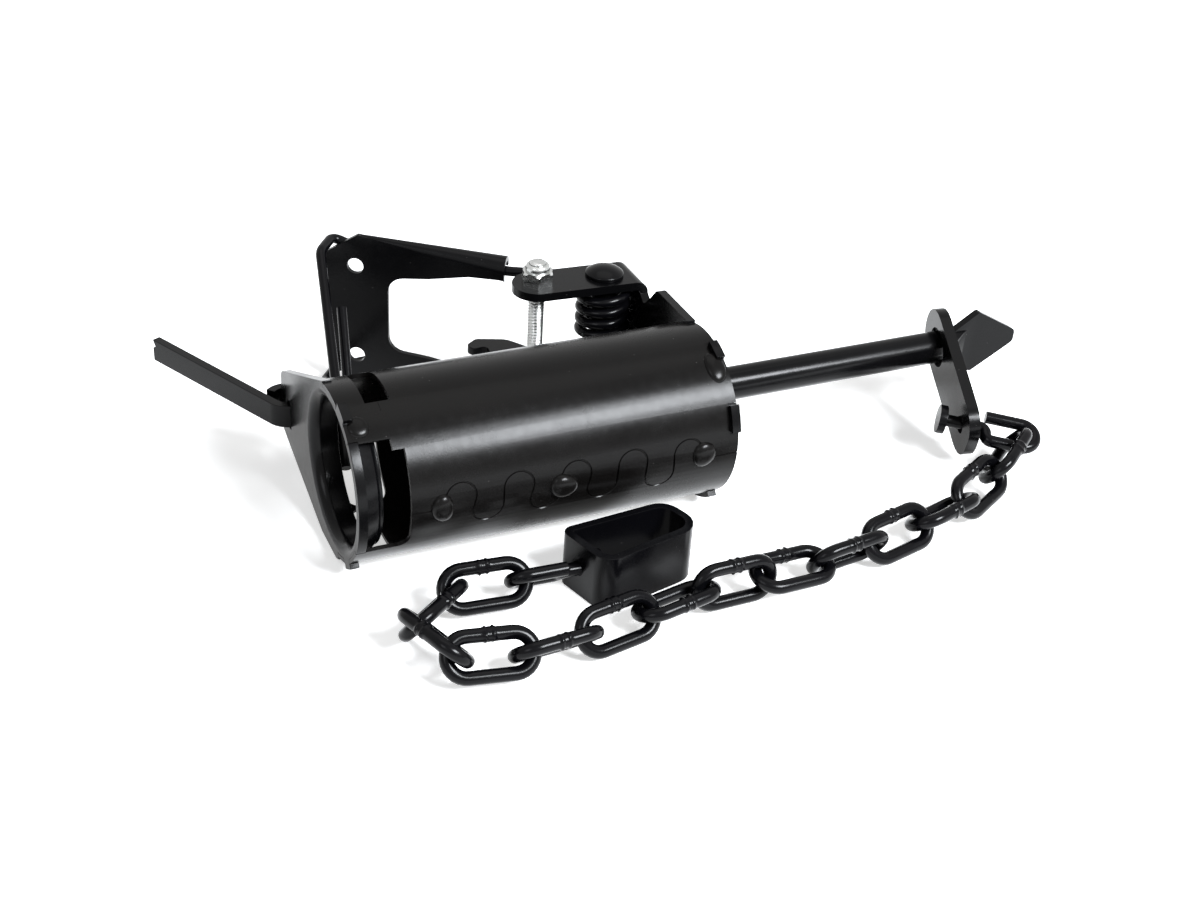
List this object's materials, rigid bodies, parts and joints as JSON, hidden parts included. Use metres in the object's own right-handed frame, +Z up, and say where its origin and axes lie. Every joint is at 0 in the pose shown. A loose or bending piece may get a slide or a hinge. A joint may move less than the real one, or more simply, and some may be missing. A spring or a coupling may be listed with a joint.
{
  "type": "raccoon foot trap",
  "caption": "Tube-shaped foot trap with sprung strike wires, lever, dog and trigger, on an anchor rod with a swivelled chain and a box swivel.",
  "frame": {"origin": "on the tube's axis, in the plane of the open mouth", "axes": "+X along the tube from the mouth to the closed end and the anchor rod, +Y to the side of the lever, +Z up from the floor that the trap lies on"},
  "size_m": [0.3247, 0.2119, 0.0714],
  "materials": {
    "tube_paint": "satin",
    "black_paint": "gloss",
    "chain_paint": "gloss",
    "spring_steel": "gloss",
    "zinc": "satin"
  },
  "bodies": {
    "trap_frame": {"tube": "tube_paint", "mouth_plate": "black_paint", "end_plate": "black_paint", "anchor_rod": "black_paint", "spring_pin": "black_paint", "trigger_bolt": "zinc", "lock_nut": "zinc", "spring_bridge": "spring_steel"},
    "lever": {"lever": "black_paint", "spring_upper": "spring_steel", "spring_lower": "spring_steel"},
    "dog": {"dog": "black_paint"},
    "trigger": {"trigger": "black_paint"},
    "swivel_plate": {"swivel_plate": "black_paint"},
    "rod_eye": {"rod_eye": "chain_paint"},
    "link_1": {"chain_link_1": "chain_paint"},
    "link_2": {"chain_link_2": "chain_paint"},
    "link_3": {"chain_link_3": "chain_paint"},
    "link_4": {"chain_link_4": "chain_paint"},
    "link_5": {"chain_link_5": "chain_paint"},
    "link_6": {"chain_link_6": "chain_paint"},
    "link_7": {"chain_link_7": "chain_paint"},
    "link_8": {"chain_link_8": "chain_paint"},
    "link_9": {"chain_link_9": "chain_paint"},
    "link_10": {"chain_link_10": "chain_paint"},
    "link_11": {"chain_link_11": "chain_paint"},
    "link_12": {"chain_link_12": "chain_paint"},
    "link_13": {"chain_link_13": "chain_paint"},
    "link_14": {"chain_link_14": "chain_paint"},
    "box_eye": {"box_eye": "chain_paint"},
    "box_swivel": {"box_swivel": "black_paint"}
  },
  "joints": [
    {"name": "lever_pivot", "type": "hinge", "parent": "trap_frame", "child": "lever", "pos_m": [0.1256, 0.0575, 0], "axis": [0, 0, 1], "range_deg": [0, 14], "stiffness_Nm_per_rad": 3, "springref_deg": -22.92},
    {"name": "dog_pivot", "type": "hinge", "parent": "trap_frame", "child": "dog", "pos_m": [0.00165, 0.0617, -0.0085], "axis": [0, 0, 1], "range_deg": [-50, 72]},
    {"name": "trigger_pivot", "type": "hinge", "parent": "trap_frame", "child": "trigger", "pos_m": [0.0984, 0.059, -0.0085], "axis": [0, 0, 1], "range_deg": [0, 35]},
    {"name": "rod_swivel", "type": "hinge", "parent": "trap_frame", "child": "swivel_plate", "pos_m": [0.2545, 0.0113, 0], "axis": [1, 0, 0], "range_deg": [-40, 50]},
    {"name": "rod_eye_spin", "type": "hinge", "parent": "swivel_plate", "child": "rod_eye", "pos_m": [0.24666, -0.02166, -0.01608], "axis": [0.852, -0.5103, -0.1169], "range_deg": [-20, 40]},
    {"name": "chain_joint_1", "type": "hinge", "parent": "rod_eye", "child": "link_1", "pos_m": [0.26117, -0.0364, -0.02056], "axis": [0.852, -0.5103, -0.1169], "range_deg": [-12, 12]},
    {"name": "chain_joint_2", "type": "hinge", "parent": "link_1", "child": "link_2", "pos_m": [0.24212, -0.04852, -0.02244], "axis": [0.313, -0.5671, 0.7618], "range_deg": [0, 25]},
    {"name": "chain_joint_3", "type": "hinge", "parent": "link_2", "child": "link_3", "pos_m": [0.22092, -0.05886, -0.02399], "axis": [-0.3394, 0.5485, 0.7642], "range_deg": [-5, 20]},
    {"name": "chain_joint_4", "type": "hinge", "parent": "link_3", "child": "link_4", "pos_m": [0.19805, -0.0649, -0.02427], "axis": [0.2191, -0.7996, 0.5591], "range_deg": [-5, 20]},
    {"name": "chain_joint_5", "type": "hinge", "parent": "link_4", "child": "link_5", "pos_m": [0.17503, -0.07008, -0.02468], "axis": [-0.1576, 0.6233, 0.7659], "range_deg": [-15, 20]},
    {"name": "chain_joint_6", "type": "hinge", "parent": "link_5", "child": "link_6", "pos_m": [0.15152, -0.07223, -0.02555], "axis": [0.0222, -0.5004, 0.8655], "range_deg": [-5, 20]},
    {"name": "chain_joint_7", "type": "hinge", "parent": "link_6", "child": "link_7", "pos_m": [0.128, -0.07379, -0.02409], "axis": [0.0574, -0.9765, -0.2076], "range_deg": [-20, 20]},
    {"name": "chain_joint_8", "type": "hinge", "parent": "link_7", "child": "link_8", "pos_m": [0.10445, -0.07498, -0.02331], "axis": [0.0282, 0.1235, 0.9919], "range_deg": [-10, 20]},
    {"name": "chain_joint_9", "type": "hinge", "parent": "link_8", "child": "link_9", "pos_m": [0.08126, -0.07939, -0.02432], "axis": [0.1464, -0.9089, 0.3905], "range_deg": [-20, 20]},
    {"name": "chain_joint_10", "type": "hinge", "parent": "link_9", "child": "link_10", "pos_m": [0.0581, -0.08393, -0.02423], "axis": [-0.1039, 0.5346, 0.8387], "range_deg": [-10, 20]},
    {"name": "chain_joint_11", "type": "hinge", "parent": "link_10", "child": "link_11", "pos_m": [0.03784, -0.08514, -0.02376], "axis": [-0.0872, 0.9962, 0], "range_deg": [-20, 12]},
    {"name": "chain_joint_12", "type": "hinge", "parent": "link_11", "child": "link_12", "pos_m": [0.01257, -0.08161, -0.02234], "axis": [0.1192, 0.6464, 0.7537], "range_deg": [-4, 16]},
    {"name": "chain_joint_13", "type": "hinge", "parent": "link_12", "child": "link_13", "pos_m": [0.0084, -0.058, -0.02205], "axis": [0.9563, 0.2924, 0], "range_deg": [0, 20]},
    {"name": "chain_joint_14", "type": "hinge", "parent": "link_13", "child": "link_14", "pos_m": [0.02939, -0.04502, -0.02498], "axis": [-0.6293, 0.7771, 0], "range_deg": [0, 20]},
    {"name": "chain_joint_15", "type": "hinge", "parent": "link_14", "child": "box_eye", "pos_m": [0.05267, -0.04934, -0.02395], "axis": [0.0537, 0.6133, 0.788], "range_deg": [-8, 20]},
    {"name": "box_spin", "type": "hinge", "parent": "box_eye", "child": "box_swivel", "pos_m": [0.07098, -0.04979, -0.02335], "axis": [0.9989, -0.0471, 0], "range_deg": [-110, 110]}
  ]
}
